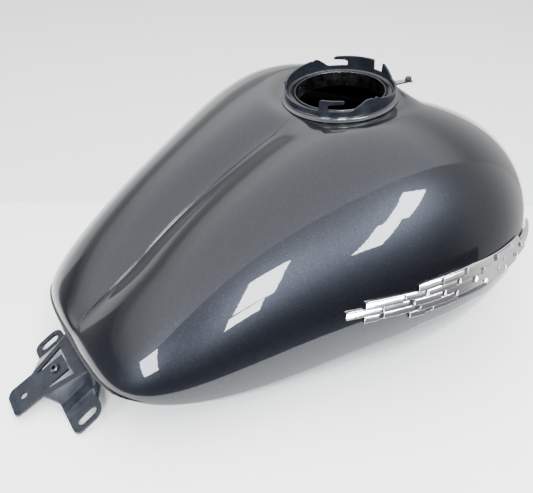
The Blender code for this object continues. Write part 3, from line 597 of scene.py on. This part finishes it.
def retainer_foot(surface):
    """Turned foot below the wall, with the fillet that runs down to the neck."""
    centre, _, _, up = ring_axes()
    fillet_out, fillet_up, fillet_from = 0.0026, 0.0030, 0.0012
    steps = 8
    profile = [(WALL_FROM, FOOT_H), (FOOT_R + 0.0004, FOOT_H), (FOOT_R + 0.0006, FOOT_H + 0.0006)]
    for s in range(steps + 1):
        a = math.pi / 2 * s / steps
        profile.append((WALL_TO + fillet_out * (1 - math.sin(a)),
                        FOOT_H + fillet_from + fillet_up * (1 - math.cos(a))))
    profile.append((WALL_FROM, FOOT_H + fillet_from + fillet_up))
    return new_piece("retainer_foot", lathe(profile, centre, up), surface, sharp=60)


def retainer_nib(surface):
    """Small stop that sticks out of the wall at the left of the opening."""
    bm = bmesh.new()
    root, tip = WALL_TO - 0.0004, WALL_TO + 0.0036
    corners = ((root, 0.0002), (tip, 0.0010), (tip, 0.0026), (root, 0.0040))
    ends = []
    for angle in (118.5, 122.5):
        ends.append([bm.verts.new(ring_point(angle, radius, height)) for radius, height in corners])
    first, last = ends
    bm.faces.new(first)
    bm.faces.new(list(reversed(last)))
    for k in range(4):
        n = (k + 1) % 4
        bm.faces.new([first[k], last[k], last[n], first[n]])
    soften(new_piece("retainer_nib", bm, surface), 0.0004, 2, 30)


def seal_seat(surface):
    """Turned seat with a rounded lip at the mouth and a flat step for the seal."""
    centre, _, _, up = ring_axes()
    lip = []
    lip_r, steps = 0.0009, 8
    for s in range(steps + 1):
        a = math.pi * s / steps
        lip.append((MOUTH_R + lip_r - lip_r * math.cos(a), -0.0006 + lip_r * math.sin(a)))
    profile = [(MOUTH_R, -0.0150)] + lip
    profile += [(MOUTH_R + 0.0022, -0.0014), (MOUTH_R + 0.0028, -0.0020), (SEAT_R - 0.0016, -0.0020),
                (SEAT_R - 0.0006, -0.0016), (SEAT_R, -0.0006), (SEAT_R + 0.0006, -0.0004),
                (SEAT_R + 0.0008, -0.0012), (SEAT_R + 0.0008, FOOT_H + 0.0004), (SEAT_R, FOOT_H),
                (SKIN_HOLE_R - GAP, FOOT_H), (SKIN_HOLE_R - GAP, FOOT_H - 0.0008),
                (MOUTH_R + 0.0016, FOOT_H - 0.0008), (MOUTH_R + 0.0016, -0.0150)]
    return new_piece("seat_ring", lathe(profile, centre, up), surface, ["seal_seat"], 50)


def side_point(x, z, side, proud):
    """Points on one side of the skin at given x and heights, moved out along the normal."""
    # start from the nearest point of a coarse grid, then step to the exact place
    u = np.linspace(0.2, 0.97, 78)
    w = np.linspace(0.4, 1.6, 49)
    grid_u, grid_w = np.meshgrid(u, w, indexing="ij")
    grid = skin(grid_u, grid_w)
    far = (grid[..., 0].ravel() - x[..., None]) ** 2 + (grid[..., 2].ravel() - z[..., None]) ** 2
    near = far.argmin(-1)
    u, w = grid_u.ravel()[near], grid_w.ravel()[near]
    step = 1e-5
    for _ in range(6):
        here = skin(u, w)
        by_u = (skin(u + step, w) - here) / step
        by_w = (skin(u, w + step) - here) / step
        miss_x, miss_z = x - here[..., 0], z - here[..., 2]
        area = by_u[..., 0] * by_w[..., 2] - by_w[..., 0] * by_u[..., 2]
        u = u + (miss_x * by_w[..., 2] - by_w[..., 0] * miss_z) / area
        w = w + (by_u[..., 0] * miss_z - miss_x * by_u[..., 2]) / area
    here = skin(u, w)
    normal = np.cross(skin(u + step, w) - here, skin(u, w + step) - here)
    normal /= np.linalg.norm(normal, axis=-1, keepdims=True)
    normal *= np.sign(normal[..., 1:2])
    return (here + normal * np.asarray(proud)[..., None]) * (1, side, 1)


def emblem_height(x):
    """Height of the emblem's middle line along the side."""
    return np.interp(x, EMBLEM_LINE_X, EMBLEM_LINE_Z)


# rows of the emblem from the top: (middle across in mm, width in mm, bars), and each bar is its
# start and end along the emblem in hundredths, and its height in mm
EMBLEM_ROWS = (
    (10.6, 4.5, ((24, 32, 4.0), (33, 41, 5.2), (43, 55, 4.2), (57, 66, 5.2), (67, 74, 3.8))),
    (5.3, 4.5, ((6, 19, 5.0), (20, 27, 3.6), (28, 39, 4.8), (41, 50, 3.6), (51, 61, 5.2), (63, 74, 3.8),
                (76, 87, 5.0))),
    (0.0, 4.5, ((0, 12, 4.8), (13, 22, 3.6), (24, 34, 5.0), (36, 47, 3.8), (49, 59, 5.2), (61, 71, 3.6),
                (73, 82, 5.2), (84, 99, 4.4))),
    (-5.3, 4.5, ((7, 12, 4.8), (14, 25, 3.8), (27, 40, 5.0), (42, 53, 3.6), (55, 65, 5.0), (67, 76, 3.8))),
    (-10.2, 4.3, ((24, 30, 5.0), (33, 43, 4.0))),
)
BAR_FOOT = 0.0009           # of a bar, off the skin; its height comes from its row
BAR_CHAMFER = 0.0006
BAR_TILT = 0.0016           # the face is this much lower at its upper edge
BACK_INSET = 0.8            # of a row's back plate, in hundredths of the emblem's length
BACK_WIDTH = 5.4
BACK_FOOT = 0.0007
BACK_TOP = 0.0024
BACK_CHAMFER = 0.0003
BACK_TILT = 0.0008


def emblem(side, surface):
    """Plated trim of plain stepped bars in rows on a shallow back plate, with no letters."""
    name = "left" if side > 0 else "right"
    reach = EMBLEM_X1 - EMBLEM_X0
    parts = []

    def bar(start, end, middle, width, low, high, chamfer, tilt):
        """Bar with bevelled edges, whose face leans up by the tilt."""
        count = max(2, int((end - start) / 2.5) + 1)
        along = np.linspace(start / 100, end / 100, count)
        half = width * MM / 2
        rings = []
        for t, lift in ((-half, low), (-half, high - chamfer), (-half + chamfer, high),
                        (half - chamfer, high - tilt), (half, high - tilt - chamfer), (half, low)):
            t = middle * MM + t
            x = EMBLEM_X0 + reach * along + EMBLEM_LEAN * t
            z = emblem_height(x) + t
            rings.append(side_point(x, z, side, np.full(count, lift)))
        return np.stack(rings)

    bm = bmesh.new()
    for middle, width, bars in EMBLEM_ROWS:
        for start, end, height in bars:
            parts.append(bar(start, end, middle, width, BAR_FOOT, height * MM, BAR_CHAMFER, BAR_TILT))
        first, last = bars[0][0] + BACK_INSET, bars[-1][1] - BACK_INSET
        parts.append(bar(first, last, middle, BACK_WIDTH, BACK_FOOT, BACK_TOP, BACK_CHAMFER,
                         BACK_TILT))
    for rings in parts:
        verts = [[bm.verts.new(p) for p in ring] for ring in rings]
        for k in range(len(verts)):
            n = (k + 1) % len(verts)
            for s in range(len(verts[0]) - 1):
                bm.faces.new([verts[k][s], verts[k][s + 1], verts[n][s + 1], verts[n][s]])
        bm.faces.new([ring[0] for ring in verts])
        bm.faces.new([ring[-1] for ring in verts])
    made = new_piece(name + "_trim", bm, surface, [name + "_emblem"], 25)
    soften(made, 0.00035, 2, 30)
    return made


def hat_z(x):
    """Height of the tongue."""
    return HAT_Z + HAT_SLOPE * (x - HAT_X)


def wing_z(x):
    """Height of the slotted wings."""
    return WING_Z + WING_SLOPE * (x - SLOT_X)


def roof_z(x):
    """Height of the tunnel's roof."""
    along = np.clip(x / MOUTH_TOP_X, 0, 1)
    return TUNNEL_ROOF_TAIL + (TUNNEL_ROOF_NOSE - TUNNEL_ROOF_TAIL) * along ** 0.85


def bracket_surface(x, y):
    """Top surface of the rear bracket: tongue, sloping facets, wings and the strip in front."""
    hat_edge = np.interp(x, HAT_EDGE_X, HAT_EDGE_Y)
    facet = FACET_DROP * np.clip((np.abs(y) - hat_edge) / (WING_STEP_Y[0] - hat_edge), 0.0, 1.0)
    drop = facet + np.interp(np.abs(y), WING_STEP_Y, WING_STEP_DROP)
    z = hat_z(x) * (1 - drop) + wing_z(np.minimum(x, 0.0)) * drop
    z = z + smoothstep(*STRIP_X, x) * (roof_z(x) - STRIP_GAP - z)
    return z - TONGUE_BEND * np.maximum(TONGUE_BEND_X - x, 0.0)


def rounded(corners, radii, steps=6):
    """Polygon with its corners rounded by arcs of the given radii."""
    points = []
    count = len(corners)
    for k in range(count):
        p = Vector(corners[k])
        before = (Vector(corners[k - 1]) - p).normalized()
        after = (Vector(corners[(k + 1) % count]) - p).normalized()
        radius = radii[k] if isinstance(radii, (list, tuple)) else radii
        half = before.angle(after) / 2
        if radius <= 0 or half > math.radians(88):
            points.append(tuple(p))
            continue
        cut = radius / math.tan(half)
        middle = p + (before + after).normalized() * (radius / math.sin(half))
        start, end = p + before * cut - middle, p + after * cut - middle
        turn = start.angle_signed(end)
        for s in range(steps + 1):
            arm = start.copy()
            arm.rotate(Matrix.Rotation(-turn * s / steps, 2))
            points.append(tuple(middle + arm))
    return points


def round_slot(centre, length, width, steps=10):
    """Outline of a slot along x with round ends."""
    points = []
    for end, start in ((1, -90), (-1, 90)):
        for s in range(steps + 1):
            a = math.radians(start + 180 * s / steps)
            points.append((centre[0] + end * (length - width) / 2 + width / 2 * math.cos(a),
                           centre[1] + width / 2 * math.sin(a)))
    return points


def rear_bracket(surface):
    """Pressed bracket, finely divided, with its window, slots and hole."""
    xs = np.linspace(-0.0665, 0.045, 150)
    ys = np.linspace(-0.066, 0.066, 177)
    x, y = np.meshgrid(xs, ys, indexing="ij")
    top = np.stack([x, y, bracket_surface(x, y)], -1)
    for _ in range(2):      # round the folds a little
        z = top[..., 2]
        z[1:-1, 1:-1] += 0.5 * ((z[:-2, 1:-1] + z[2:, 1:-1] + z[1:-1, :-2] + z[1:-1, 2:]) / 4
                                - z[1:-1, 1:-1])
    under = top - (0.0, 0.0, SLANT * BRACKET_T)
    made = new_piece("pressed_bracket", grid_mesh(top, under), surface,
                     ["rear_bracket"], 40)
    left = [(0.043, 0.0), (0.043, 0.030), (0.0135, 0.036), (0.008, 0.0410), (-0.0005, 0.0440),
            (-0.0005, 0.0590), (-0.0285, 0.0590), (-0.0290, 0.0290), (-0.0385, 0.0145),
            (-0.0645, 0.0140)]
    radii = [0, 0.006, 0.004, 0.002, 0.002, 0.009, 0.007, 0.006, 0.003, 0.0055]
    right = [(px, -py) for px, py in reversed(left[1:])]
    flat = Matrix.Identity(4)
    low, high = -0.02, 0.08     # past the bracket's top and underside
    outline_points = rounded(left + right, radii + radii[:0:-1])
    steps = [("INTERSECT", cutter("keep", outline_points, low, high, flat))]
    for side in (1, -1):
        slot = round_slot((SLOT_X, side * SLOT_Y), SLOT_LONG, SLOT_WIDE)
        steps.append(("DIFFERENCE", cutter("slot", slot, low, high, flat)))
        gap = [(-0.0360, side * 0.0098), (-0.0345, side * 0.0115), (-0.0095, side * 0.0185),
               (-0.0095, 0.0), (-0.0110, 0.0), (-0.0110, side * 0.0098)]
        steps.append(("DIFFERENCE", cutter("window", gap, low, high, flat)))
    hole = circle((TONGUE_HOLE_X, 0.0), TONGUE_HOLE_R, 24)
    steps.append(("DIFFERENCE", cutter("hole", hole, low, high, flat)))
    apply_booleans(made, steps)
    soften(made, 0.0004, 2, 45)
    return made


# ------------------------------------------------------------------ stage, lights, camera
def leaning(tree, place, direction, low, high, easing="SMOOTHSTEP"):
    """How far a place or a direction lies along another one: 0 at low, 1 at high."""
    dot = tree.nodes.new("ShaderNodeVectorMath")
    dot.operation = "DOT_PRODUCT"
    dot.inputs[1].default_value = direction
    tree.links.new(place, dot.inputs[0])
    made = tree.nodes.new("ShaderNodeMapRange")
    made.interpolation_type = easing
    made.inputs["From Min"].default_value = low
    made.inputs["From Max"].default_value = high
    tree.links.new(dot.outputs["Value"], made.inputs["Value"])
    return made.outputs["Result"]


def mixed(tree, factor, first, second):
    """Mix of two colours, each given as a value or as another node's output."""
    made = tree.nodes.new("ShaderNodeMix")
    made.data_type = "RGBA"
    tree.links.new(factor, made.inputs["Factor"])
    for socket, colour in ((MIX_A, first), (MIX_B, second)):
        if isinstance(colour, tuple):
            made.inputs[socket].default_value = (*colour, 1.0)
        else:
            tree.links.new(colour, made.inputs[socket])
    return made.outputs[MIX_RESULT]


def product(tree, first, second):
    """Product of two nodes' values."""
    made = tree.nodes.new("ShaderNodeMath")
    made.operation = "MULTIPLY"
    tree.links.new(first, made.inputs[0])
    tree.links.new(second, made.inputs[1])
    return made.outputs["Value"]


def floor():
    """Pale table top, whose near and right edges lie just outside the picture; its far part is painted a
    darker grey, as painted shade standing in for the back wall.
    """
    bm = bmesh.new()
    bm.faces.new([bm.verts.new(AWAY * a + RIGHTWARD * r) for a, r in TABLE_CORNERS])
    mesh = bpy.data.meshes.new("floor")
    bm.to_mesh(mesh)
    bm.free()
    made = bpy.data.objects.new("floor", mesh)
    bpy.context.scene.collection.objects.link(made)
    surface, tree, shader, where = surface_nodes("pale_table", grey(0.90), 0.55, 0.0)
    table_tone = ramp(tree, noise(tree, where, 3.0, 2.0), [(0.3, grey(0.885)), (0.7, grey(0.915))])
    # painted shade: past this line the table turns darker, standing in for the dimmer back wall
    wall_shade_mask = leaning(tree, where, AWAY, SHADE_LINE, SHADE_LINE + SHADE_BLEND, "LINEAR")
    tone = mixed(tree, wall_shade_mask, table_tone, WALL_SHADE_TONE)
    tree.links.new(tone, shader.inputs["Base Color"])
    mesh.materials.append(surface)


def new_light(name, width, height, power):
    """Rectangular area light, not yet placed."""
    light = bpy.data.lights.new(name, "AREA")
    light.shape = "RECTANGLE"
    light.size, light.size_y = width, height
    light.energy = power
    made = bpy.data.objects.new(name, light)
    bpy.context.scene.collection.objects.link(made)
    return made


def overhead():
    """Large soft light above, which lights the table but isn't mirrored in the paint."""
    made = new_light("overhead", OVERHEAD_SIZE, OVERHEAD_SIZE, OVERHEAD_POWER)
    made.location = OVERHEAD_PLACE
    aim = Vector(OVERHEAD_AIM) - Vector(OVERHEAD_PLACE)
    made.rotation_euler = aim.to_track_quat("-Z", "Y").to_euler()
    made.visible_glossy = False


def pane(name, centre, across, up, width, height, radiance):
    """One soft window pane: a rectangle of even light, turned towards the tank."""
    across, up = Vector(across).normalized(), Vector(up)
    up = (up - across * up.dot(across)).normalized()
    away = across.cross(up)
    if away.dot(Vector(centre)) < 0:
        across, away = -across, -away
    made = new_light(name, width, height, radiance * math.pi * width * height)
    made.data.color = DAYLIGHT
    made.matrix_world = Matrix([(across[k], up[k], away[k], centre[k]) for k in range(3)]
                               + [(0, 0, 0, 1)])


def room():
    """Pale room round the tank: bright above and behind, dark low down in front and at the tail."""
    world = bpy.data.worlds.new("studio")
    bpy.context.scene.world = world
    world.use_nodes = True
    tree = world.node_tree
    place = tree.nodes.new("ShaderNodeTexCoord").outputs["Generated"]
    rise = tree.nodes.new("ShaderNodeSeparateXYZ")
    tree.links.new(place, rise.inputs["Vector"])
    near_wall = ramp(tree, rise.outputs["Z"], [(z, grey(tone)) for z, tone in NEAR_WALL])
    far_wall = ramp(tree, rise.outputs["Z"], [(z, grey(tone)) for z, tone in FAR_WALL])
    to_nose = leaning(tree, place, (1.0, 0.0, 0.0), 0.10, 0.60)
    near_wall = mixed(tree, to_nose, near_wall, grey(NOSE_END_NEAR))
    to_nose = leaning(tree, place, (1.0, 0.0, -0.35), 0.25, 0.75)
    far_wall = mixed(tree, to_nose, far_wall, grey(NOSE_END_FAR))
    far_side = leaning(tree, place, (0.0, 0.965, 0.26), -0.012, 0.012)
    tone = mixed(tree, far_side, near_wall, far_wall)
    to_tail = leaning(tree, place, (-0.875, -0.485, 0.0), -0.02, 0.02)
    low_down = leaning(tree, place, (0.16, 0.0, 1.0), 0.20, 0.15)
    tone = mixed(tree, product(tree, to_tail, low_down), tone, DARK_CORNER)
    background = tree.nodes["Background"]
    tree.links.new(tone, background.inputs["Color"])
    background.inputs["Strength"].default_value = 1.0


def camera():
    """Camera at the picture's viewing angle."""
    level = math.cos(CAMERA_ELEVATION)
    back = Vector((math.sin(CAMERA_AZIMUTH) * level, -math.cos(CAMERA_AZIMUTH) * level,
                   math.sin(CAMERA_ELEVATION)))
    data = bpy.data.cameras.new("camera")
    data.sensor_width = CAMERA_SENSOR
    data.lens = CAMERA_LENS
    data.clip_start = 0.01
    made = bpy.data.objects.new("camera", data)
    made.location = CAMERA_TARGET + back * CAMERA_DISTANCE
    turn = (-back).to_track_quat("-Z", "Y").to_matrix()
    made.rotation_euler = (turn @ Matrix.Rotation(CAMERA_ROLL, 3, "Z")).to_euler()
    bpy.context.scene.collection.objects.link(made)
    bpy.context.scene.camera = made


# ------------------------------------------------------------------ putting it together
def paint_nodes(surfaces):
    """Give every CAD node that stays on show its finish."""
    finishes = {
        "paint": ("floor_pan",),
        "black": ("tail_seam_flange", "left_front_ear", "right_front_ear"),
        "nut": ("bracket_weld_nut",),
        "bright": ("locating_tab",),
        "rubber": ("tab_bumper",),
        "foam": ("left_emblem_pad", "right_emblem_pad"),
        "steel": ("neck_stiffener", "vent_tube", "left_crossover_spigot", "right_crossover_spigot",
                  "left_baffle", "right_baffle")}
    for finish, names in finishes.items():
        for name in names:
            NODES[name].data.materials.clear()
            NODES[name].data.materials.append(surfaces[finish])


surfaces = {
    "paint": paint_material(),
    "black": black_coat_material(),
    "chrome": chrome_material(),
    "steel": steel_material("plain_steel", (0.50, 0.50, 0.49), 0.36),
    "nut": steel_material("nut_steel", (0.10, 0.105, 0.12), 0.28),
    "gloss": gloss_coat_material(),
    "bright": steel_material("tab_steel", (0.62, 0.62, 0.60), 0.26),
    "seat": steel_material("seat_coat", (0.085, 0.087, 0.092), 0.30),
    "rubber": rubber_material("rubber", 0.022),
    "foam": rubber_material("foam", 0.03),
}
camera()
paint_nodes(surfaces)
for side in (1, -1):
    fine_shell(side, surfaces["paint"])
    emblem(side, surfaces["chrome"])
wall_sheet("retainer_wall", surfaces["black"])
retainer_foot(surfaces["gloss"])
retainer_nib(surfaces["black"])
seal_seat(surfaces["seat"])
rear_bracket(surfaces["black"])
floor()
overhead()
for window in WINDOW_PANES:
    pane(*window)
room()
